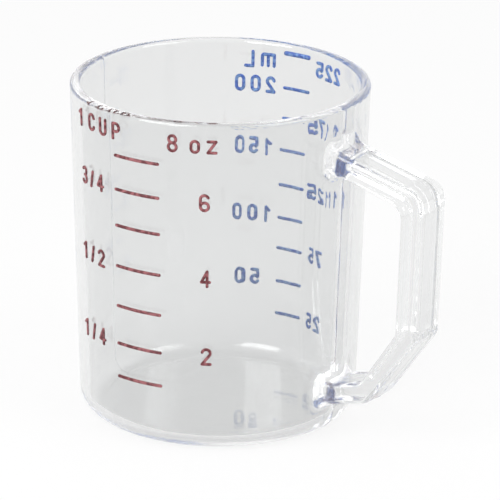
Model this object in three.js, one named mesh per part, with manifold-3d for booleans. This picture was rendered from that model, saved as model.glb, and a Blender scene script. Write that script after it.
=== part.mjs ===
// Clear moulded measuring cup that holds one cup at the brim, with an angular bar handle and two
// raised scales on the outside of its wall. Millimetres, Z up. The origin is on the cup's axis, on
// the plane it stands on, and the handle points along +X.

import * as THREE from 'three';
import { mergeVertices } from 'three/addons/utils/BufferGeometryUtils.js';
import Module from 'manifold-3d';

const wasm = await Module();
wasm.setup();

// Cup. The wall's outer line runs from the base radius at the base plane to the rim radius at the brim.
const cupHeight = 80;
const rimRadius = 34.75;
const baseRadius = 32.3;
const wallThickness = 2.4;
const floorThickness = 2.4;
const baseCornerRadius = 5.8;

// Handle: a flat bar that leaves the wall on a falling arm, runs down a grip parallel to the wall, and
// comes back on a diagonal and a short arm that rises outwards. The top arm's drop is from the brim to its
// upper face at the wall, and the lower arm's rise is from the base plane to its underside there. The
// diagonal's thickness is at the knee, and its inner face is the steeper one.
const handleWidth = 11;
const handleEdgeRadius = 1.4;
const fingerGap = 18.8;
const gripThickness = 5.7;
const topArmDrop = 9.2;
const topArmSlope = 14.4;
const topArmThickness = 5.5;
const lowerArmRise = 8.4;
const lowerArmSlope = 14.2;
const lowerArmThickness = 5.1;
const diagonalStart = 29;
const diagonalOuterSlope = 54.1;
const diagonalInnerSlope = 56.3;
const diagonalThickness = 5.1;

// Bends of the handle, each at one corner of its outline
const topOuterBend = 4.2;
const topInnerBend = 4;
const kneeOuterBend = 2.6;
const kneeInnerBend = 2;
const heelOuterBend = 4;
const heelInnerBend = 1.6;

// Roots of the handle: a concave flare onto the wall, ending in a thin land. The reach is along the arm,
// and the others are how far it spreads on the wall beside, above and under the arm.
const upperRootReach = 3;
const upperRootBeside = 3;
const upperRootAbove = 2.8;
const upperRootUnder = 3.2;
const lowerRootReach = 3;
const lowerRootBeside = 3.2;
const lowerRootAbove = 4.2;
const lowerRootUnder = 1.8;
const rootLand = 0.3;
const rootClearance = 0.3;

// Scales: raised lines with sloping flanks, at a turn measured from the handle towards +Y
const markRelief = 0.3;
const markFlank = 0.08;
const markClearance = 0.1;
const ounceTurn = -88.7;
const ounceLength = 12.3;
const ounceHeight = 0.75;
const millilitreTurn = 91.9;
const millilitreLength = 7.7;
const millilitreHeight = 0.75;
const topMarkHeight = 1.1;

// The brimful is one cup, and the lines of each scale share it out
const ouncesPerCup = 8;
const millilitresPerCup = 236.6;
const millilitresPerMark = 25;

// How far each moulded line stands above the level that its volume truly reaches, from the lowest line up
const ounceLifts = [2.8, 0.8, 0.1, 0.1, 0.4, -0.3, -1.4];
const millilitreLifts = [1.3, 0.8, 0.7, 0, 0, 0.6, 0.2, -0.1, 0.7];

// Fineness of the round forms
const turnSegments = 96;
const arcDivisions = 4;
const bendSegments = 7;
const edgeSegments = 3;
const filletRings = 6;
const markSegments = 10;
const levelSlices = 400;
const levelTolerance = 0.001;

const wallLean = Math.atan2(rimRadius - baseRadius, cupHeight);
const innerFillet = baseCornerRadius - wallThickness;
const lipRadius = wallThickness / 2;
const radians = THREE.MathUtils.degToRad;

const clearPlastic = new THREE.MeshStandardMaterial({
  color: 0xe6ebed, roughness: 0.07, metalness: 0, transparent: true, opacity: 0.4,
});
const redInk = new THREE.MeshStandardMaterial({ color: 0x8c2a30, roughness: 0.45, metalness: 0 });
const blueInk = new THREE.MeshStandardMaterial({ color: 0x3d5fa6, roughness: 0.45, metalness: 0 });

function wallRadius(height) {
  return baseRadius + Math.tan(wallLean) * height;
}

// Distance from the axis to the middle of a round that touches a wall line from inside
function roundCentre(height, inset) {
  return wallRadius(height) - inset / Math.cos(wallLean);
}

// Radius of the hollow at a height, with the fillet between floor and wall
function hollowRadius(height) {
  const straight = roundCentre(height, wallThickness);
  const centreHeight = floorThickness + innerFillet;
  if (height >= centreHeight) {
    return straight;
  }
  const centre = roundCentre(centreHeight, wallThickness + innerFillet);
  const drop = centreHeight - height;
  return Math.min(straight, centre + Math.sqrt(Math.max(0, innerFillet ** 2 - drop ** 2)));
}

// Volume held below a height
function heldBelow(height) {
  const step = (height - floorThickness) / levelSlices;
  let volume = 0;
  for (let slice = 0.5; slice < levelSlices; slice += 1) {
    volume += Math.PI * hollowRadius(floorThickness + slice * step) ** 2 * step;
  }
  return volume;
}

// Height that a share of the brimful reaches, by halving the span that it lies in
function fillLevel(share) {
  const wanted = share * heldBelow(cupHeight);
  let low = floorThickness;
  let high = cupHeight;
  while (high - low > levelTolerance) {
    const middle = (low + high) / 2;
    if (heldBelow(middle) < wanted) {
      low = middle;
    } else {
      high = middle;
    }
  }
  return low;
}

function revolve(points) {
  return new THREE.LatheGeometry(points, turnSegments).rotateX(Math.PI / 2);
}

function toSolid(geometry) {
  const bare = geometry.clone();
  bare.deleteAttribute('normal');
  bare.deleteAttribute('uv');
  const merged = mergeVertices(bare, 1e-4);
  return new wasm.Manifold(new wasm.Mesh({
    numProp: 3,
    vertProperties: new Float32Array(merged.attributes.position.array),
    triVerts: new Uint32Array(merged.index.array),
  }));
}

function toGeometry(solid) {
  const mesh = solid.getMesh();
  const geometry = new THREE.BufferGeometry();
  geometry.setAttribute('position', new THREE.BufferAttribute(mesh.vertProperties, 3));
  geometry.setIndex(new THREE.BufferAttribute(mesh.triVerts, 1));
  geometry.computeVertexNormals();
  return geometry;
}

function named(name, geometry, material) {
  const mesh = new THREE.Mesh(geometry, material);
  mesh.name = name;
  return mesh;
}

// Cup body: one revolved section, from the middle of the underside over the lip to the middle of the floor
function cupBody() {
  const lipHeight = cupHeight - lipRadius;
  const lipCentre = roundCentre(lipHeight, lipRadius);
  const cornerCentre = roundCentre(baseCornerRadius, baseCornerRadius);
  const filletHeight = floorThickness + innerFillet;
  const filletCentre = roundCentre(filletHeight, wallThickness + innerFillet);
  const section = new THREE.Path();
  section.moveTo(0, 0);
  section.lineTo(cornerCentre, 0);
  section.absarc(cornerCentre, baseCornerRadius, baseCornerRadius, -Math.PI / 2, -wallLean, false);
  section.absarc(lipCentre, lipHeight, lipRadius, -wallLean, Math.PI - wallLean, false);
  section.absarc(filletCentre, filletHeight, innerFillet, -wallLean, -Math.PI / 2, true);
  section.lineTo(0, floorThickness);
  return revolve(section.getPoints(arcDivisions));
}

// A face of the handle seen from the side: a line through a point, at a slope in degrees
function face(x, z, slope) {
  return { x, z, dx: Math.cos(radians(slope)), dz: Math.sin(radians(slope)) };
}

function offsetFace(line, distance) {
  return { ...line, x: line.x - line.dz * distance, z: line.z + line.dx * distance };
}

function crossing(a, b) {
  const along = ((b.x - a.x) * b.dz - (b.z - a.z) * b.dx) / (a.dx * b.dz - a.dz * b.dx);
  return new THREE.Vector2(a.x + a.dx * along, a.z + a.dz * along);
}

// Closed outline through corners, each rounded to its own bend radius
function bentOutline(corners) {
  const outline = new THREE.Shape();
  corners.forEach(({ point, bend }, index) => {
    const before = corners.at(index - 1).point;
    const after = corners[(index + 1) % corners.length].point;
    const toBefore = before.clone().sub(point).normalize();
    const toAfter = after.clone().sub(point).normalize();
    const halfAngle = Math.acos(toBefore.dot(toAfter)) / 2;
    const setback = bend / Math.tan(halfAngle);
    const start = point.clone().addScaledVector(toBefore, setback);
    const end = point.clone().addScaledVector(toAfter, setback);
    const bisector = toBefore.clone().add(toAfter).normalize();
    const centre = point.clone().addScaledVector(bisector, bend / Math.sin(halfAngle));
    const startAngle = start.clone().sub(centre).angle();
    const endAngle = end.clone().sub(centre).angle();
    const clockwise = toBefore.cross(toAfter) > 0;
    if (index === 0) {
      outline.moveTo(start.x, start.y);
    } else {
      outline.lineTo(start.x, start.y);
    }
    if (bend > 0) {
      outline.absarc(centre.x, centre.y, bend, startAngle, endAngle, clockwise);
    }
  });
  outline.closePath();
  return outline;
}

// The wall and the faces of the handle's bar, each as a line in the plane of the handle
const topArmHeight = cupHeight - topArmDrop;
const wallFace = face(baseRadius, 0, 90 - THREE.MathUtils.radToDeg(wallLean));
const topArmTop = face(wallRadius(topArmHeight), topArmHeight, -topArmSlope);
const topArmUnder = offsetFace(topArmTop, -topArmThickness);
const gripInner = offsetFace(wallFace, -fingerGap);
const gripOuter = offsetFace(gripInner, -gripThickness);
const gripFoot = crossing(gripOuter, face(0, diagonalStart, 0));
const diagonalOuter = face(gripFoot.x, gripFoot.y, diagonalOuterSlope);
const gripKnee = crossing(gripInner, offsetFace(diagonalOuter, diagonalThickness));
const diagonalInner = face(gripKnee.x, gripKnee.y, diagonalInnerSlope);
const lowerArmUnder = face(wallRadius(lowerArmRise), lowerArmRise, lowerArmSlope);
const lowerArmTop = offsetFace(lowerArmUnder, lowerArmThickness);

// The bar's ends run into the wall, and are cut to it afterwards
function handleBar() {
  const insideWall = offsetFace(wallFace, wallThickness);
  const outline = bentOutline([
    { point: crossing(insideWall, topArmTop), bend: 0 },
    { point: crossing(insideWall, topArmUnder), bend: 0 },
    { point: crossing(topArmUnder, gripInner), bend: topInnerBend },
    { point: crossing(gripInner, diagonalInner), bend: kneeInnerBend },
    { point: crossing(diagonalInner, lowerArmTop), bend: heelInnerBend },
    { point: crossing(lowerArmTop, insideWall), bend: 0 },
    { point: crossing(lowerArmUnder, insideWall), bend: 0 },
    { point: crossing(lowerArmUnder, diagonalOuter), bend: heelOuterBend },
    { point: crossing(diagonalOuter, gripOuter), bend: kneeOuterBend },
    { point: crossing(gripOuter, topArmTop), bend: topOuterBend },
  ]);
  const straightWidth = handleWidth - 2 * handleEdgeRadius;
  return new THREE.ExtrudeGeometry(outline, {
    depth: straightWidth,
    curveSegments: bendSegments,
    bevelSize: handleEdgeRadius,
    bevelOffset: -handleEdgeRadius,
    bevelThickness: handleEdgeRadius,
    bevelSegments: edgeSegments,
  }).translate(0, 0, -straightWidth / 2).rotateX(Math.PI / 2);
}

// Rounded rectangle with its own reach above and under its middle, as points in Y and Z
function sectionRing(halfWidth, above, under, corner) {
  const sides = [[1, above], [-1, above], [-1, -under], [1, -under]];
  return sides.flatMap(([ySign, edge], quarter) => {
    const centre = new THREE.Vector2(ySign * (halfWidth - corner), edge - Math.sign(edge) * corner);
    return Array.from({ length: bendSegments + 1 }, (_, step) => {
      const angle = (quarter + step / bendSegments) * Math.PI / 2;
      return new THREE.Vector2(corner * Math.cos(angle), corner * Math.sin(angle)).add(centre);
    });
  });
}

// Closed skin over rings of equally many points
function loftRings(rings) {
  const count = rings[0].length;
  const middles = [rings[0], rings.at(-1)].map((ring) => (
    ring.reduce((sum, point) => sum.add(point), new THREE.Vector3()).divideScalar(count)
  ));
  const points = [...rings.flat(), ...middles];
  const faces = [];
  for (let next = 0; next < count; next += 1) {
    const after = (next + 1) % count;
    const last = (rings.length - 1) * count;
    faces.push(points.length - 2, after, next);
    faces.push(points.length - 1, last + next, last + after);
    for (let ring = 0; ring < rings.length - 1; ring += 1) {
      const low = ring * count;
      const high = low + count;
      faces.push(low + next, low + after, high + after);
      faces.push(low + next, high + after, high + next);
    }
  }
  const geometry = new THREE.BufferGeometry().setFromPoints(points);
  geometry.setIndex(faces);
  return geometry;
}

// Flared root of one arm: rings that follow the wall's round and widen towards it
function flaredRoot(underFace, topFace, flare) {
  const landEnd = rootClearance + rootLand;
  const steps = Array.from({ length: filletRings + 1 }, (_, step) => {
    const sweep = (step / filletRings) * Math.PI / 2;
    return { away: landEnd + flare.reach * (1 - Math.cos(sweep)), spread: 1 - Math.sin(sweep) };
  });
  steps.unshift({ away: -rootClearance, spread: 1 });
  const rings = steps.map(({ away, spread }) => {
    const ringFace = offsetFace(wallFace, -away);
    const top = crossing(ringFace, topFace).y;
    const under = crossing(ringFace, underFace).y;
    const middle = (top + under) / 2;
    const half = (top - under) / 2;
    const ring = sectionRing(
      handleWidth / 2 + flare.beside * spread,
      half + flare.above * spread,
      half + flare.under * spread,
      handleEdgeRadius + Math.min(flare.beside, flare.above, flare.under) * spread,
    );
    return ring.map(({ x, y }) => {
      const distance = wallRadius(middle + y) + away;
      return new THREE.Vector3(Math.sqrt(distance ** 2 - x ** 2), x, middle + y);
    });
  });
  return loftRings(rings);
}

// Cone just outside the wall, to cut the handle's roots to the wall's round
function wallCutter() {
  const top = cupHeight + wallThickness;
  const bottom = -wallThickness;
  return revolve([
    new THREE.Vector2(0, bottom),
    new THREE.Vector2(wallRadius(bottom) + rootClearance, bottom),
    new THREE.Vector2(wallRadius(top) + rootClearance, top),
    new THREE.Vector2(0, top),
  ]);
}

function handle() {
  const bar = toSolid(handleBar());
  const upperRoot = toSolid(flaredRoot(topArmUnder, topArmTop, {
    reach: upperRootReach,
    beside: upperRootBeside,
    above: upperRootAbove,
    under: upperRootUnder,
  }));
  const lowerRoot = toSolid(flaredRoot(lowerArmUnder, lowerArmTop, {
    reach: lowerRootReach,
    beside: lowerRootBeside,
    above: lowerRootAbove,
    under: lowerRootUnder,
  }));
  const whole = bar.add(upperRoot).add(lowerRoot).subtract(toSolid(wallCutter()));
  return toGeometry(whole);
}

// One raised line of a scale, bent around the wall at its level
function scaleMark(turn, level, length, height) {
  const geometry = new THREE.BoxGeometry(length, markRelief, height, markSegments, 1, 1);
  const spots = geometry.attributes.position;
  for (let i = 0; i < spots.count; i += 1) {
    const outside = spots.getY(i) < 0;
    const along = spots.getX(i) - (outside ? Math.sign(spots.getX(i)) * markFlank : 0);
    const up = spots.getZ(i) - (outside ? Math.sign(spots.getZ(i)) * markFlank : 0);
    const radius = wallRadius(level + up) + markClearance + markRelief / 2 - spots.getY(i);
    const angle = radians(turn) + along / wallRadius(level);
    spots.setXYZ(i, radius * Math.cos(angle), radius * Math.sin(angle), level + up);
  }
  geometry.computeVertexNormals();
  return geometry;
}

const cup = new THREE.Group();
cup.name = 'measuring_cup';
cup.add(named('cup_body', cupBody(), clearPlastic));
cup.add(named('handle', handle(), clearPlastic));
ounceLifts.forEach((lift, index) => {
  const ounces = index + 1;
  const level = fillLevel(ounces / ouncesPerCup) + lift;
  const line = scaleMark(ounceTurn, level, ounceLength, ounceHeight);
  cup.add(named(`ounce_mark_${ounces}`, line, redInk));
});
millilitreLifts.forEach((lift, index) => {
  const millilitres = (index + 1) * millilitresPerMark;
  const level = fillLevel(millilitres / millilitresPerCup) + lift;
  const height = index === millilitreLifts.length - 1 ? topMarkHeight : millilitreHeight;
  const line = scaleMark(millilitreTurn, level, millilitreLength, height);
  cup.add(named(`millilitre_mark_${millilitres}`, line, blueInk));
});

export default cup;
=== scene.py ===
import math

import bmesh
import bpy
from mathutils import Matrix, Vector


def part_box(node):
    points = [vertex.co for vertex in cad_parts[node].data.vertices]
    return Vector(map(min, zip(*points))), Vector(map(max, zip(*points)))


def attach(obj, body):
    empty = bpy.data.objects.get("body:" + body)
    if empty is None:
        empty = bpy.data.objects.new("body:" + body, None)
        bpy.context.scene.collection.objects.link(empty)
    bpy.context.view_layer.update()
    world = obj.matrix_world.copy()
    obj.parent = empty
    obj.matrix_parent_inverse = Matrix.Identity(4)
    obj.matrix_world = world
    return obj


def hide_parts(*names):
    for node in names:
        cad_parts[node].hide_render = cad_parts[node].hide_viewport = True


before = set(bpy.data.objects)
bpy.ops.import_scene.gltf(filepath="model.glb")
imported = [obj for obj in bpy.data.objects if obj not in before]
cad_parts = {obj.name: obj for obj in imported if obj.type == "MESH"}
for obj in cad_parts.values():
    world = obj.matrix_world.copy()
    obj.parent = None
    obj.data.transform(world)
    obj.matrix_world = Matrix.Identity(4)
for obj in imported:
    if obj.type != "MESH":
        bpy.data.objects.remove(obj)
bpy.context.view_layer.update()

mm = 0.001  # the pieces below are drawn in millimetres
body = "root"
print("frame loaded:", len(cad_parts), "nodes")


# Small helpers for drawing
def wallRadius(z):
    lean = (cup["rimRadius"] - cup["baseRadius"]) / cup["height"]
    return cup["baseRadius"] + lean * z


def onWall(angle, z, out=0.0):
    r = wallRadius(z) + out
    return (r * math.cos(angle), r * math.sin(angle), z)


def newSkin():
    return {"points": [], "faces": []}


def addLoop(skin, points):
    start = len(skin["points"])
    skin["points"] += points
    return list(range(start, start + len(points)))


def bridge(skin, a, b, skip=()):
    for i in range(len(a)):
        j = (i + 1) % len(a)
        if i not in skip:
            skin["faces"].append((a[i], a[j], b[j], b[i]))


def makePiece(name, skin):
    mesh = bpy.data.meshes.new(name)
    mesh.from_pydata([Vector(p) * mm for p in skin["points"]], [], skin["faces"])
    bm = bmesh.new()
    bm.from_mesh(mesh)
    bmesh.ops.recalc_face_normals(bm, faces=bm.faces)
    bm.to_mesh(mesh)
    bm.free()
    for polygon in mesh.polygons:
        polygon.use_smooth = True
    piece = bpy.data.objects.new(name, mesh)
    bpy.context.scene.collection.objects.link(piece)
    return piece


# The clear moulding: cup and handle in one skin
cupLow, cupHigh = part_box("cup_body")
cup = {
    "height": round(cupHigh.z / mm, 2),
    "rimRadius": 34.75,  # outer wall line at the brim
    "baseRadius": 32.3,  # outer wall line at the base plane
    "wall": 2.4,
    "floor": 2.4,
    "corner": 5.8,  # round at the base edge
    "columnPitch": 1.1,  # spacing of the mesh columns round the wall
    "floorRings": (4, 12, 20),  # radii of the mesh rings on the floor and the underside
    "cornerSteps": 12,
    "betweenSteps": 4,  # mesh steps up the wall between the roots
    "lipSteps": 14,
    "innerSteps": 6,  # down the inside of the wall
    "filletSteps": 10,
    "flatWeight": 60,  # how firmly large faces keep their shading flat
}
seam = {
    "top": 0.03,  # half widths of the parting line
    "foot": 0.12,
    "height": 0.1,
    "footFade": 3,  # mesh steps in which it rises on the base round
    "brimFade": 5,  # and ends on the brim
}
handle = {
    "width": 11,
    "edge": 1.4,  # round along the bar's edges
    "fingerGap": 18.8,
    "gripThickness": 5.7,
    "topDrop": 9.2,  # from the brim to the top arm's upper face
    "topSlope": 14.4,
    "topThickness": 5.5,
    "lowerRise": 8.4,  # from the base plane to the lower arm's underside
    "lowerSlope": 14.2,
    "lowerThickness": 5.1,
    "diagonalStart": 29,
    "diagonalSlopes": (54.1, 56.3),
    "diagonalThickness": 5.1,
    "outerBends": (4.2, 2.6, 4),
    "innerBends": (4, 2, 1.6),
    "bendSteps": 10,
    # flares of the roots: along the arm, then on the wall beside, outside and inside of the bend
    "upperFlare": {"reach": 3, "beside": 3, "outer": 2.8, "inner": 3.2},
    "lowerFlare": {"reach": 3, "beside": 3.2, "outer": 1.8, "inner": 4.2},
    "flareSteps": 10,
    "patchMargin": 2.2,  # wall around each root that is remeshed to meet it
}
seamCols = 2  # mesh columns on each side of a parting line
sideArc = 4  # mesh steps on each half corner of a ring
acrossSteps = 2 * sideArc + 5  # steps along its top or bottom, with the parting line
riseSteps = 2 * sideArc + 2  # steps along its left or right


def line2d(x, z, slope):
    return Vector((x, z)), Vector((math.cos(math.radians(slope)), math.sin(math.radians(slope))))


def offset2d(line, distance):
    point, along = line
    return point + Vector((-along.y, along.x)) * distance, along


def cross2d(a, b):
    (p, d), (q, e) = a, b
    t = ((q.x - p.x) * e.y - (q.y - p.y) * e.x) / (d.x * e.y - d.y * e.x)
    return p + d * t


def bendPoints(before, corner, after, radius, steps):
    # points of the round that takes a corner
    toBefore = (before - corner).normalized()
    toAfter = (after - corner).normalized()
    half = toBefore.angle(toAfter) / 2
    centre = corner + (toBefore + toAfter).normalized() * radius / math.sin(half)
    start = corner + toBefore * radius / math.tan(half) - centre
    end = corner + toAfter * radius / math.tan(half) - centre
    sweep = start.angle_signed(end)
    return [centre + Matrix.Rotation(-sweep * i / steps, 2) @ start for i in range(steps + 1)]


def ringOutline(halfWidth, halfHeight, corner):
    # rounded rectangle as (y, v, seam side), from the lower left corner round by the right
    dy, dv = halfWidth - corner, halfHeight - corner
    centres = [(-dy, -dv), (dy, -dv), (dy, dv), (-dy, dv)]
    outline = []
    for side in range(4):
        here, there = centres[side], centres[(side + 1) % 4]
        for i in range(sideArc + 1):
            turn = math.radians(225 + 90 * side + 45 * i / sideArc)
            outline.append((here[0] + corner * math.cos(turn), here[1] + corner * math.sin(turn), 0))
        if side % 2 == 0:
            face = 1 if side else -1
            row = [(-seam["foot"], 0), (-seam["top"], face), (seam["top"], face), (seam["foot"], 0)]
            for y, ridge in row if face < 0 else reversed(row):
                outline.append((y, face * halfHeight, ridge))
        else:
            reach = 1 if side == 1 else -1
            outline.append((reach * halfWidth, 0, 0))
        for i in range(sideArc):
            turn = math.radians(270 + 90 * side + 45 * i / sideArc)
            outline.append((there[0] + corner * math.cos(turn), there[1] + corner * math.sin(turn), 0))
    return outline


def cupProfile(windows):
    # half section of the cup: (radius, z, normal r, normal z, seam strength), underside to floor
    h, w, corner = cup["height"], cup["wall"], cup["corner"]
    lean = math.atan2(cup["rimRadius"] - cup["baseRadius"], h)
    inset = lambda z, d: wallRadius(z) - d / math.cos(lean)
    rows = [(r, 0.0, 0, -1, 0) for r in cup["floorRings"]]
    centre = inset(corner, corner)
    for i in range(cup["cornerSteps"] + 1):
        turn = -math.pi / 2 + (math.pi / 2 - lean) * i / cup["cornerSteps"]
        c, s = math.cos(turn), math.sin(turn)
        rows.append((centre + corner * c, corner + corner * s, c, s, min(1, i / seam["footFade"])))
    cornerTop = rows.pop()[1]
    heights = []
    for low, high in windows:
        low = max(low, cornerTop)
        heights += [low + (high - low) * i / riseSteps for i in range(riseSteps + 1)]
    between, steps = riseSteps + 1, cup["betweenSteps"]
    gap = heights[between] - heights[riseSteps]
    heights[between:between] = [heights[riseSteps] + gap * i / steps for i in range(1, steps)]
    rows += [(wallRadius(z), z, math.cos(lean), -math.sin(lean), 1) for z in heights]
    lip, lipZ = w / 2, h - w / 2
    centre = inset(lipZ, lip)
    for i in range(cup["lipSteps"] + 1):
        turn = -lean + math.pi * i / cup["lipSteps"]
        c, s = math.cos(turn), math.sin(turn)
        rows.append((centre + lip * c, lipZ + lip * s, c, s, max(0, 1 - i / seam["brimFade"])))
    fillet = corner - w
    filletZ = cup["floor"] + fillet
    centre = inset(filletZ, w + fillet)
    bottom, top = filletZ - fillet * math.sin(lean), rows[-1][1]
    for i in range(1, cup["innerSteps"]):
        z = top + (bottom - top) * i / cup["innerSteps"]
        rows.append((inset(z, w), z, -math.cos(lean), math.sin(lean), 0))
    for i in range(cup["filletSteps"] + 1):
        turn = -lean - (math.pi / 2 - lean) * i / cup["filletSteps"]
        c, s = math.cos(turn), math.sin(turn)
        rows.append((centre + fillet * c, filletZ + fillet * s, -c, -s, 0))
    rows += [(r, cup["floor"], 0, 1, 0) for r in reversed(cup["floorRings"])]
    return rows


def wallColumns(windowHalf, rootHalf):
    # angles round the cup: close columns at the handle and at both parting lines
    r = cup["rimRadius"]
    half = [seam["top"] / r, seam["foot"] / r]
    half += [(rootHalf + (windowHalf - rootHalf) * i / sideArc) / r for i in range(sideArc + 1)]
    start, end = half[-1], math.pi - seam["foot"] / r
    count = round((end - start) * r / cup["columnPitch"])
    half += [start + (end - start) * i / count for i in range(1, count + 1)]
    half.append(math.pi - seam["top"] / r)
    return [-a for a in reversed(half)] + half


def handleFaces():
    lean = math.degrees(math.atan2(cup["rimRadius"] - cup["baseRadius"], cup["height"]))
    topZ = cup["height"] - handle["topDrop"]
    faces = {"wall": line2d(cup["baseRadius"], 0, 90 - lean)}
    faces["topOuter"] = line2d(wallRadius(topZ), topZ, -handle["topSlope"])
    faces["topInner"] = offset2d(faces["topOuter"], -handle["topThickness"])
    faces["gripInner"] = offset2d(faces["wall"], -handle["fingerGap"])
    faces["gripOuter"] = offset2d(faces["gripInner"], -handle["gripThickness"])
    foot = cross2d(faces["gripOuter"], line2d(0, handle["diagonalStart"], 0))
    outerSlope, innerSlope = handle["diagonalSlopes"]
    faces["slantOuter"] = line2d(foot.x, foot.y, outerSlope)
    knee = cross2d(faces["gripInner"], offset2d(faces["slantOuter"], handle["diagonalThickness"]))
    faces["slantInner"] = line2d(knee.x, knee.y, innerSlope)
    faces["lowOuter"] = line2d(wallRadius(handle["lowerRise"]), handle["lowerRise"], handle["lowerSlope"])
    faces["lowInner"] = offset2d(faces["lowOuter"], handle["lowerThickness"])
    return faces


def rootRings(faces, outer, inner, flare):
    # rings of one root, from the wall to the bar: a concave round that flares onto the wall
    rings = []
    for i in range(handle["flareSteps"] + 1):
        sweep = math.pi / 2 * i / handle["flareSteps"]
        away, spread = flare["reach"] * (1 - math.cos(sweep)), 1 - math.sin(sweep)
        beside, outside, inside = (flare[side] * spread for side in ("beside", "outer", "inner"))
        level = offset2d(faces["wall"], -away)
        zOuter, zInner = cross2d(level, faces[outer]).y, cross2d(level, faces[inner]).y
        up = 1 if zOuter > zInner else -1
        zOuter, zInner = zOuter + up * outside, zInner - up * inside
        middle, half = (zOuter + zInner) / 2, abs(zOuter - zInner) / 2
        corner = handle["edge"] + min(beside, outside, inside)
        ring = []
        for y, v, ridge in ringOutline(handle["width"] / 2 + beside, half, corner):
            z = middle + up * (v + ridge * seam["height"] * math.sin(sweep))
            r = wallRadius(z) + away + abs(ridge) * seam["height"] * math.cos(sweep)
            ring.append((math.sqrt(r * r - y * y), y, z))
        rings.append(ring)
    return rings


def barRings(faces):
    # rings along the bar, paired from its outer and inner outline at each bend
    outerNames, innerNames = (
        [f"{run}{side}" for run in ("top", "grip", "slant", "low")] for side in ("Outer", "Inner")
    )
    ends = [offset2d(faces["wall"], -handle[f"{root}Flare"]["reach"]) for root in ("upper", "lower")]
    paths = []
    for names, bends in ((outerNames, handle["outerBends"]), (innerNames, handle["innerBends"])):
        corners = [cross2d(faces[names[i]], faces[names[i + 1]]) for i in range(3)]
        stops = [cross2d(ends[0], faces[names[0]])] + corners + [cross2d(ends[1], faces[names[3]])]
        path = []
        for i, bend in enumerate(bends):
            path += bendPoints(stops[i], stops[i + 1], stops[i + 2], bend, handle["bendSteps"])
        paths.append(path)
    rings = []
    for outer, inner in zip(*paths):
        middle, across = (outer + inner) / 2, (outer - inner) / 2
        unit = across.normalized()
        ring = []
        for y, v, ridge in ringOutline(handle["width"] / 2, across.length, handle["edge"]):
            spot = middle + unit * (v + ridge * seam["height"])
            ring.append((spot.x, y, spot.y))
        rings.append(ring)
    return rings


def makeMoulding():
    faces = handleFaces()
    roots = [
        rootRings(faces, "lowOuter", "lowInner", handle["lowerFlare"]),
        rootRings(faces, "topOuter", "topInner", handle["upperFlare"]),
    ]
    margin = handle["patchMargin"]
    windows = [(min(p[2] for p in r[0]) - margin, max(p[2] for p in r[0]) + margin) for r in roots]
    rootHalf = handle["width"] / 2 - handle["edge"]
    windowHalf = handle["width"] / 2 + handle["lowerFlare"]["beside"] + margin
    rows, angles = cupProfile(windows), wallColumns(windowHalf, rootHalf)
    half = len(angles) // 2
    ridges = {0, len(angles) - 1, half - 1, half}
    firstCol, lastCol = half - 1 - seamCols - sideArc, half + seamCols + sideArc
    skin, grid = newSkin(), []
    for r, z, normalR, normalZ, strength in rows:
        loop = []
        for col, angle in enumerate(angles):
            lift = seam["height"] * strength if col in ridges else 0
            reach = r + normalR * lift
            loop.append((reach * math.cos(angle), reach * math.sin(angle), z + normalZ * lift))
        grid.append(addLoop(skin, loop))
    tops = [row[1] for row in rows]
    wallStart = len(cup["floorRings"]) + cup["cornerSteps"]
    outerRows = [i for i in range(wallStart, len(rows)) if rows[i][2] > 0]  # those that face outwards
    spans = []
    for low, high in windows:
        near = lambda z: min(outerRows, key=lambda i: abs(tops[i] - z))
        spans.append((near(max(low, tops[wallStart])), near(high)))
    for i in range(len(grid) - 1):
        inWindow = any(low <= i < high for low, high in spans)
        bridge(skin, grid[i], grid[i + 1], range(firstCol, lastCol) if inWindow else ())
    for end, z in ((0, 0.0), (-1, cup["floor"])):
        hub = addLoop(skin, [(0, 0, z)])[0]
        loop = grid[end]
        skin["faces"] += [(loop[i], loop[(i + 1) % len(loop)], hub) for i in range(len(loop))]
    ends = []
    for (low, high), root, flip in zip(spans, roots, (True, False)):
        rise = range(low, high + 1)
        border = [grid[low][c] for c in range(firstCol, lastCol)]
        border += [grid[i][lastCol] for i in rise[:-1]]
        border += [grid[high][c] for c in range(lastCol, firstCol, -1)]
        border += [grid[i][firstCol] for i in reversed(rise[1:])]
        loop = addLoop(skin, root[0])
        matched = loop
        if flip:  # the lower root's rings run the other way, with their outer side down
            start = 2 * acrossSteps + riseSteps
            matched = [loop[(start - i) % len(loop)] for i in range(len(loop))]
        halfway = []
        for a, b in zip(border, matched):
            p, q = Vector(skin["points"][a]), Vector(skin["points"][b])
            spot = (p + q) / 2
            out = ((p.xy.length - wallRadius(p.z)) + (q.xy.length - wallRadius(q.z))) / 2
            halfway.append(onWall(math.atan2(spot.y, spot.x), spot.z, out))
        middle = addLoop(skin, halfway)
        bridge(skin, border, middle)
        bridge(skin, middle, matched)
        last = loop
        for ring in root[1:]:
            now = addLoop(skin, ring)
            bridge(skin, last, now)
            last = now
        ends.append(last)
    last = ends[1]
    for ring in barRings(faces):
        now = addLoop(skin, ring)
        bridge(skin, last, now)
        last = now
    bridge(skin, last, ends[0])
    return makePiece("cupMoulding", skin)


moulding = makeMoulding()
weigh = moulding.modifiers.new("flatFaces", "WEIGHTED_NORMAL")
weigh.weight = cup["flatWeight"]
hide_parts("cup_body", "handle")
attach(moulding, body)
print("moulding:", len(moulding.data.vertices), "points")

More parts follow.
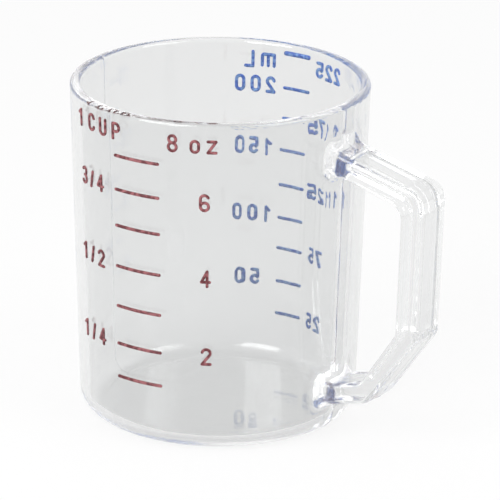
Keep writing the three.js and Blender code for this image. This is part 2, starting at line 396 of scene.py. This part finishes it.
# Scales: raised lines and figures drawn as strokes on the wall, then inked
stroke = {
    "section": (  # outline across a stroke, in half widths and in reliefs
        (-1, -0.2), (-1, 0.45), (-0.86, 0.85), (-0.5, 1), (0.5, 1), (0.86, 0.85), (1, 0.45), (1, -0.2),
    ),
    "capSteps": 4,
    "tip": 0.06,  # share of the width left at a stroke's end
    "tipRound": 0.5,  # how the relief falls towards it
    "pitch": 0.45,  # longest mesh step along a stroke
}
ounces = {
    "lineTurn": -88.7,
    "lineLength": 12.3,
    "relief": 0.3,
    "pen": 0.68,  # stroke width of the figures
    "size": (2.55, 4.3),  # a figure's width and height
    "words": [  # text, turn of its middle, height, degrees from letter to letter
        ("1", -121.0, 75.1, 0), ("CUP", -105.0, 75.3, 7.25),
        ("3/4", -113.2, 61.5, 5.8), ("1/2", -114.2, 43.1, 6.15), ("1/4", -115.0, 23.9, 6.45),
        ("8", -73.1, 75.0, 0), ("oz", -61.3, 74.6, 6.4),
        ("6", -60.8, 61.3, 0), ("4", -60.3, 43.0, 0), ("2", -59.9, 24.0, 0),
    ],
}
millilitres = {
    "lineTurn": 91.9,
    "lineLength": 7.7,
    "relief": 0.3,
    "pen": 0.8,
    "size": (2.6, 4.2),
    "words": [
        ("mL", 109.1, 74.9, 8.0), ("200", 110.3, 68.9, 6.45), ("150", 110.1, 53.7, 6.15),
        ("100", 110.3, 37.1, 6.5), ("50", 112.0, 21.0, 6.7),
        ("225", 74.8, 74.8, 5.5), ("175", 75.5, 61.0, 5.6), ("125", 74.0, 45.0, 6.5),
        ("75", 76.6, 29.1, 6.1), ("25", 76.2, 12.7, 5.9),
    ],
}
smallLetters = {"o": (2.4, 3.3), "z": (2.5, 3.3), "m": (3.9, 3.5), "L": (2.6, 4.3)}


def arc(x, y, rx, ry, start, end, steps=10):
    turns = [math.radians(start + (end - start) * i / steps) for i in range(steps + 1)]
    return [(x + rx * math.cos(t), y + ry * math.sin(t)) for t in turns]


def figureStrokes(sign, a, b):
    # centre lines of one figure in a box of half width a and half height b
    low, high = a - b, b - a
    waist = 0.06 * b
    rise, fall = (b - waist) / 2, (b + waist) / 2  # half heights of the upper and lower bows
    upper, lower = b - rise, fall - b
    signs = {
        "0": [arc(0, high, a, a, 0, 180) + arc(0, low, a, a, 180, 360) + [(a, high)]],
        "1": [[(0.25 * a, -b), (0.25 * a, b)], [(0.25 * a, b), (-0.75 * a, b - 0.8 * a)]],
        "2": [arc(0, high, a, a, 165, -20) + [(-a, -b)], [(-a, -b), (a, -b)]],
        "3": [arc(0, upper, a * 0.92, rise, 150, -90), arc(0, lower, a, fall, 90, -150)],
        "4": [[(0.4 * a, -b), (0.4 * a, b)], [(0.4 * a, b), (-a, -0.42 * b)],
              [(-a, -0.42 * b), (a, -0.42 * b)]],
        "5": [[(0.85 * a, b), (-0.85 * a, b)], [(-0.85 * a, b), (-0.9 * a, 0.12 * b)],
              arc(0, lower + 0.08 * b, a, fall, 140, -150)],
        "6": [arc(0, low, a, a, 0, 360, 16), [(-a, low), (-a, high)] + arc(0, high, a, a, 180, 25)],
        "7": [[(-a, b), (a, b)], [(a, b), (-0.3 * a, -b)]],
        "8": [arc(0, upper, a * 0.9, rise, -90, 270, 16), arc(0, lower, a, fall, 90, 450, 16)],
        "/": [[(-0.36 * a, -b), (0.5 * a, b)]],
        "C": [arc(0, high, a, a, 10, 180) + arc(0, low, a, a, 180, 350)],
        "U": [[(-a, b)] + arc(0, low, a, a, 180, 360) + [(a, b)]],
        "P": [[(-a, -b), (-a, b), (0, b)] + arc(0, b - 0.52 * b, a, 0.52 * b, 90, -90) + [(-a, -0.04 * b)]],
        "o": [arc(0, high, a, a, 0, 180) + arc(0, low, a, a, 180, 360) + [(a, high)]],
        "z": [[(-a, b), (a, b)], [(a, b), (-a, -b)], [(-a, -b), (a, -b)]],
        "m": [[(-a, -b), (-a, b)],
              [(-a, b), (0.7 * a, b)] + arc(0.7 * a, 0.6 * b, 0.3 * a, 0.4 * b, 90, 0) + [(a, -b)],
              [(0, -b), (0, b)]],
        "L": [[(-a, b), (-a, -b)], [(-a, -b), (a, -b)]],
    }
    return signs[sign]


def addStroke(skin, path, width, relief, place):
    # a raised stroke with round ends, along a path of (along, up) points that place() puts on the wall
    points = [Vector(path[0])]
    for spot in path[1:]:
        span = Vector(spot) - points[-1]
        count = max(1, math.ceil(span.length / stroke["pitch"]))
        base = points[-1]
        points += [base + span * i / count for i in range(1, count + 1)]
    ends = (points[0] - points[1]).normalized(), (points[-1] - points[-2]).normalized()
    caps = [math.pi / 2 * i / stroke["capSteps"] for i in range(1, stroke["capSteps"] + 1)]
    beads = [(p, 1) for p in points]
    for turn in caps:
        reach, girth = math.sin(turn) * width / 2, max(stroke["tip"], math.cos(turn))
        beads.insert(0, (points[0] + ends[0] * reach, girth))
        beads.append((points[-1] + ends[1] * reach, girth))
    last = None
    for i, (spot, girth) in enumerate(beads):
        before, after = beads[max(0, i - 1)][0], beads[min(len(beads) - 1, i + 1)][0]
        along = (after - before).normalized()
        side = Vector((-along.y, along.x)) * width / 2 * girth
        ring = []
        for across, out in stroke["section"]:
            at = spot + side * across
            swell = girth ** stroke["tipRound"] if out > 0 else 1
            ring.append(place(at.x, at.y, out * relief * swell))
        now = addLoop(skin, ring)
        if last:
            bridge(skin, last, now)
        else:
            skin["faces"].append(tuple(now))
        last = now
    skin["faces"].append(tuple(last))


def makeLines(name, scale, prefix):
    skin = newSkin()
    nodes = [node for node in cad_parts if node.startswith(prefix)]
    for node in nodes:
        low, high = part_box(node)
        z, height = (low.z + high.z) / 2 / mm, (high.z - low.z) / mm
        place = lambda s, up, out: onWall(math.radians(scale["lineTurn"]) + s / wallRadius(z), z + up, out)
        reach = (scale["lineLength"] - height) / 2
        addStroke(skin, [(-reach, 0), (reach, 0)], height, scale["relief"], place)
    piece = makePiece(name, skin)
    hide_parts(*nodes)
    return piece


def makeFigures(name, scale):
    skin = newSkin()
    for text, turn, z, pitch in scale["words"]:
        for i, sign in enumerate(text):
            centre = math.radians(turn + (i - (len(text) - 1) / 2) * pitch)
            width, height = smallLetters.get(sign, scale["size"])
            place = lambda s, up, out: onWall(centre + s / wallRadius(z), z + up, out)
            for path in figureStrokes(sign, (width - scale["pen"]) / 2, (height - scale["pen"]) / 2):
                addStroke(skin, path, scale["pen"], scale["relief"], place)
    return makePiece(name, skin)


wornPatches = {"detail": 3, "edges": (0.4, 0.62)}  # where in the noise a patch starts and is full


def makeWear():
    # one uneven surface for the plastic and the inks: patches of colour and gloss, and soft relief
    group = bpy.data.node_groups.new("surfaceWear", "ShaderNodeTree")
    for way, sockets in (
        ("INPUT", (("Fresh", "Color"), ("Worn", "Color"), ("Smooth", "Float"), ("Rough", "Float"),
                   ("Fineness", "Float"), ("Lengthen", "Float"))),
        ("OUTPUT", (("Colour", "Color"), ("Roughness", "Float"), ("Height", "Float"))),
    ):
        for name, kind in sockets:
            group.interface.new_socket(name=name, in_out=way, socket_type=f"NodeSocket{kind}")
    nodes, links = group.nodes, group.links
    given, result = nodes.new("NodeGroupInput"), nodes.new("NodeGroupOutput")
    where, stretch = nodes.new("ShaderNodeTexCoord"), nodes.new("ShaderNodeCombineXYZ")
    stretch.inputs["X"].default_value = stretch.inputs["Y"].default_value = 1
    links.new(given.outputs["Lengthen"], stretch.inputs["Z"])
    spot = nodes.new("ShaderNodeVectorMath")
    spot.operation = "MULTIPLY"
    links.new(where.outputs["Object"], spot.inputs[0])
    links.new(stretch.outputs[0], spot.inputs[1])
    noise = nodes.new("ShaderNodeTexNoise")
    noise.inputs["Detail"].default_value = wornPatches["detail"]
    links.new(spot.outputs[0], noise.inputs["Vector"])
    links.new(given.outputs["Fineness"], noise.inputs["Scale"])
    patches = nodes.new("ShaderNodeMapRange")
    patches.interpolation_type = "SMOOTHSTEP"
    for edge, level in zip(("From Min", "From Max"), wornPatches["edges"]):
        patches.inputs[edge].default_value = level
    links.new(noise.outputs["Fac"], patches.inputs["Value"])
    colour = nodes.new("ShaderNodeMix")
    colour.data_type = "RGBA"
    mixA, mixB, mixed = 6, 7, 2  # the Mix node's sockets for colours
    links.new(patches.outputs[0], colour.inputs["Factor"])
    links.new(given.outputs["Fresh"], colour.inputs[mixA])
    links.new(given.outputs["Worn"], colour.inputs[mixB])
    gloss = nodes.new("ShaderNodeMapRange")
    links.new(noise.outputs["Fac"], gloss.inputs["Value"])
    links.new(given.outputs["Smooth"], gloss.inputs["To Min"])
    links.new(given.outputs["Rough"], gloss.inputs["To Max"])
    links.new(colour.outputs[mixed], result.inputs["Colour"])
    links.new(gloss.outputs[0], result.inputs["Roughness"])
    links.new(noise.outputs["Fac"], result.inputs["Height"])
    return group


surfaceWear = makeWear()


def wear(material, relief, **values):
    # the wear group in a material, with its gloss and its relief (mm) joined to the shader
    nodes, links = material.node_tree.nodes, material.node_tree.links
    shader = nodes["Principled BSDF"]
    node = nodes.new("ShaderNodeGroup")
    node.node_tree = surfaceWear
    for name, value in values.items():
        node.inputs[name].default_value = value
    bump = nodes.new("ShaderNodeBump")
    bump.inputs["Distance"].default_value = relief * mm
    links.new(node.outputs["Roughness"], shader.inputs["Roughness"])
    links.new(node.outputs["Height"], bump.inputs["Height"])
    links.new(bump.outputs[0], shader.inputs["Normal"])
    return node


inks = {
    "redInk": {"Fresh": (0.11, 0.014, 0.02, 1), "Worn": (0.36, 0.12, 0.13, 1)},
    "blueInk": {"Fresh": (0.07, 0.19, 0.78, 1), "Worn": (0.27, 0.5, 1, 1)},
    "surface": {"Smooth": 0.3, "Rough": 0.6, "Fineness": 1100, "Lengthen": 1},
    "relief": 0.05,
}


def makeInk(name):
    material = bpy.data.materials.new(name)
    material.use_nodes = True
    worn = wear(material, inks["relief"], **inks[name], **inks["surface"])
    shader = material.node_tree.nodes["Principled BSDF"]
    material.node_tree.links.new(worn.outputs["Colour"], shader.inputs["Base Color"])
    return material


redInk, blueInk = makeInk("redInk"), makeInk("blueInk")
for piece, slot, ink in (
    (makeLines("ounceLines", ounces, "ounce_mark"), "ounce_ink", redInk),
    (makeFigures("ounceFigures", ounces), "ounce_ink", redInk),
    (makeLines("millilitreLines", millilitres, "millilitre_mark"), "millilitre_ink", blueInk),
    (makeFigures("millilitreFigures", millilitres), "millilitre_ink", blueInk),
):
    piece.data.materials.append(ink)
    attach(piece, body)
print("scales drawn")

# Camera at the photograph's view
camera = {
    "target": (5.95, 4.12, 38.24),
    "turn": -55.63,  # where the camera stands round the cup, from the handle
    "elevation": 19.46,
    "distance": 1000,
    "roll": 0.65,
    "lens": 308.4,
    "sensor": 36,
    "sight": 20,  # metres
}


def placeCamera():
    data = bpy.data.cameras.new("photoCamera")
    data.lens, data.sensor_width = camera["lens"], camera["sensor"]
    data.clip_end = camera["sight"]
    shot = bpy.data.objects.new("photoCamera", data)
    turn, rise = math.radians(camera["turn"]), math.radians(camera["elevation"])
    away = Vector((math.cos(rise) * math.cos(turn), math.cos(rise) * math.sin(turn), math.sin(rise)))
    shot.location = (Vector(camera["target"]) + away * camera["distance"]) * mm
    look = (-away).to_track_quat("-Z", "Y").to_matrix()
    shot.rotation_euler = (look @ Matrix.Rotation(math.radians(camera["roll"]), 3, "Z")).to_euler()
    bpy.context.scene.collection.objects.link(shot)
    bpy.context.scene.camera = shot


placeCamera()
print("camera placed")

# Clear plastic of the moulding
clear = {
    "colour": (0.87, 0.875, 0.875, 1),
    "refraction": 1.585,
    "relief": 0.06,  # flow marks of the moulding, drawn out upwards
    "surface": {"Smooth": 0.005, "Rough": 0.035, "Fineness": 90, "Lengthen": 0.15},
}


def makeClear():
    material = bpy.data.materials.new("clearPlastic")
    material.use_nodes = True
    shader = material.node_tree.nodes["Principled BSDF"]
    shader.inputs["Base Color"].default_value = clear["colour"]
    shader.inputs["Transmission Weight"].default_value = 1
    shader.inputs["IOR"].default_value = clear["refraction"]
    wear(material, clear["relief"], **clear["surface"])
    return material


moulding.data.materials.append(makeClear())

# Studio: a white floor, and a dim room with a white backdrop and an overhead light box. The camera and the
# clear wall see the room as white.
studio = {
    "sweepTurn": 124,  # the backdrop lies this way from the cup
    "floorRadius": 1000,
    "floorSteps": 96,
    "floorDrop": 0.05,
    "floorTone": 0.9,
    "cameraShade": 0.12,  # how much of the floor's tone is lit and shaded, and not glow
    "glassShade": 0.36,  # the same, as it is seen in the clear wall
    "backdropEdge": (75, 55),  # degrees from its middle where it starts and is full
    "backdropTop": (34, 24),  # degrees above the floor where it ends and is full
    "horizon": (1, -2),  # and below which all is white
    "overhead": (40, 52),  # degrees above the floor where the light box starts and is full
    "room": 0.06,  # tone of the rest
    "bounces": 200,  # light runs far inside the clear wall
    "boxes": [  # turn, elevation, distance, size, watts
        (-100, 34, 700, 450, 3.2),
        (0, 38, 800, 450, 2),
    ],
}


def smoothRange(nodes, links, value, start, end):
    ramp = nodes.new("ShaderNodeMapRange")
    ramp.interpolation_type = "SMOOTHSTEP"
    ramp.inputs["From Min"].default_value = start
    ramp.inputs["From Max"].default_value = end
    links.new(value, ramp.inputs["Value"])
    return ramp.outputs[0]


def joined(nodes, links, operation, a, b):
    node = nodes.new("ShaderNodeMath")
    node.operation = operation
    for socket, value in zip(node.inputs, (a, b)):
        if isinstance(value, (int, float)):
            socket.default_value = value
        else:
            links.new(value, socket)
    return node.outputs[0]


def seenInGlass(nodes, links, path):
    return joined(
        nodes, links, "MAXIMUM", path.outputs["Is Glossy Ray"], path.outputs["Is Transmission Ray"]
    )


def makeWorld():
    world = bpy.data.worlds.new("studioRoom")
    bpy.context.scene.world = world
    world.use_nodes = True
    nodes, links = world.node_tree.nodes, world.node_tree.links
    nodes.clear()
    where = nodes.new("ShaderNodeTexCoord")
    split = nodes.new("ShaderNodeSeparateXYZ")
    links.new(where.outputs["Generated"], split.inputs[0])
    facing = nodes.new("ShaderNodeVectorMath")
    facing.operation = "DOT_PRODUCT"
    turn = math.radians(studio["sweepTurn"])
    facing.inputs[1].default_value = (math.cos(turn), math.sin(turn), 0)
    links.new(where.outputs["Generated"], facing.inputs[0])
    edges = [math.cos(math.radians(a)) for a in studio["backdropEdge"]]
    heights = [math.sin(math.radians(a)) for a in studio["overhead"]]
    top = [math.sin(math.radians(a)) for a in studio["backdropTop"]]
    below = [math.sin(math.radians(a)) for a in studio["horizon"]]
    backdrop = smoothRange(nodes, links, facing.outputs["Value"], *edges)
    underTop, ground, overhead = (
        smoothRange(nodes, links, split.outputs["Z"], *span) for span in (top, below, heights)
    )
    backdrop = joined(nodes, links, "MULTIPLY", backdrop, underTop)
    backdrop = joined(nodes, links, "MAXIMUM", backdrop, ground)
    level = nodes.new("ShaderNodeMapRange")
    level.inputs["To Min"].default_value = studio["room"]
    links.new(joined(nodes, links, "MAXIMUM", backdrop, overhead), level.inputs["Value"])
    room = nodes.new("ShaderNodeBackground")
    links.new(level.outputs[0], room.inputs["Color"])
    white = nodes.new("ShaderNodeBackground")
    white.inputs["Color"].default_value = (1, 1, 1, 1)
    path = nodes.new("ShaderNodeLightPath")
    mix = nodes.new("ShaderNodeMixShader")
    seen = joined(nodes, links, "MAXIMUM", seenInGlass(nodes, links, path), path.outputs["Is Camera Ray"])
    links.new(seen, mix.inputs[0])
    links.new(room.outputs[0], mix.inputs[1])
    links.new(white.outputs[0], mix.inputs[2])
    out = nodes.new("ShaderNodeOutputWorld")
    links.new(mix.outputs[0], out.inputs[0])


def makeFloor():
    radius, steps = studio["floorRadius"], studio["floorSteps"]
    turns = [2 * math.pi * i / steps for i in range(steps)]
    skin = newSkin()
    edge = addLoop(skin, [(radius * math.cos(t), radius * math.sin(t), 0) for t in turns])
    skin["faces"].append(tuple(edge))
    floor = makePiece("studioFloor", skin)
    floor.location.z = -studio["floorDrop"] * mm
    material = bpy.data.materials.new("paleFloor")
    material.use_nodes = True
    nodes, links = material.node_tree.nodes, material.node_tree.links
    nodes.clear()
    path = nodes.new("ShaderNodeLightPath")
    glow = nodes.new("ShaderNodeEmission")
    glow.inputs["Color"].default_value = (1, 1, 1, 1)
    plain = nodes.new("ShaderNodeBsdfDiffuse")
    plain.inputs["Color"].default_value = (studio["floorTone"], studio["floorTone"], studio["floorTone"], 1)
    share = joined(nodes, links, "MULTIPLY", seenInGlass(nodes, links, path), 1 - studio["glassShade"])
    straight = joined(nodes, links, "MULTIPLY", path.outputs["Is Camera Ray"], 1 - studio["cameraShade"])
    mix = nodes.new("ShaderNodeMixShader")
    links.new(joined(nodes, links, "MAXIMUM", share, straight), mix.inputs[0])
    links.new(plain.outputs[0], mix.inputs[1])
    links.new(glow.outputs[0], mix.inputs[2])
    out = nodes.new("ShaderNodeOutputMaterial")
    links.new(mix.outputs[0], out.inputs[0])
    floor.data.materials.append(material)


def makeBoxes():
    for i, (turn, rise, distance, size, watts) in enumerate(studio["boxes"]):
        data = bpy.data.lights.new(f"softBox{i}", "AREA")
        data.size, data.energy = size * mm, watts
        box = bpy.data.objects.new(f"softBox{i}", data)
        a, e = math.radians(turn), math.radians(rise)
        away = Vector((math.cos(e) * math.cos(a), math.cos(e) * math.sin(a), math.sin(e)))
        box.location = (away * distance + Vector((0, 0, cup["height"] / 2))) * mm
        box.rotation_euler = away.to_track_quat("Z", "Y").to_euler()
        bpy.context.scene.collection.objects.link(box)


def makeStudio():
    scene = bpy.context.scene
    scene.view_settings.view_transform = "Standard"
    scene.cycles.max_bounces = studio["bounces"]
    scene.cycles.glossy_bounces = studio["bounces"]
    scene.cycles.transmission_bounces = studio["bounces"]
    makeWorld()
    makeFloor()
    makeBoxes()


makeStudio()
print("studio set")
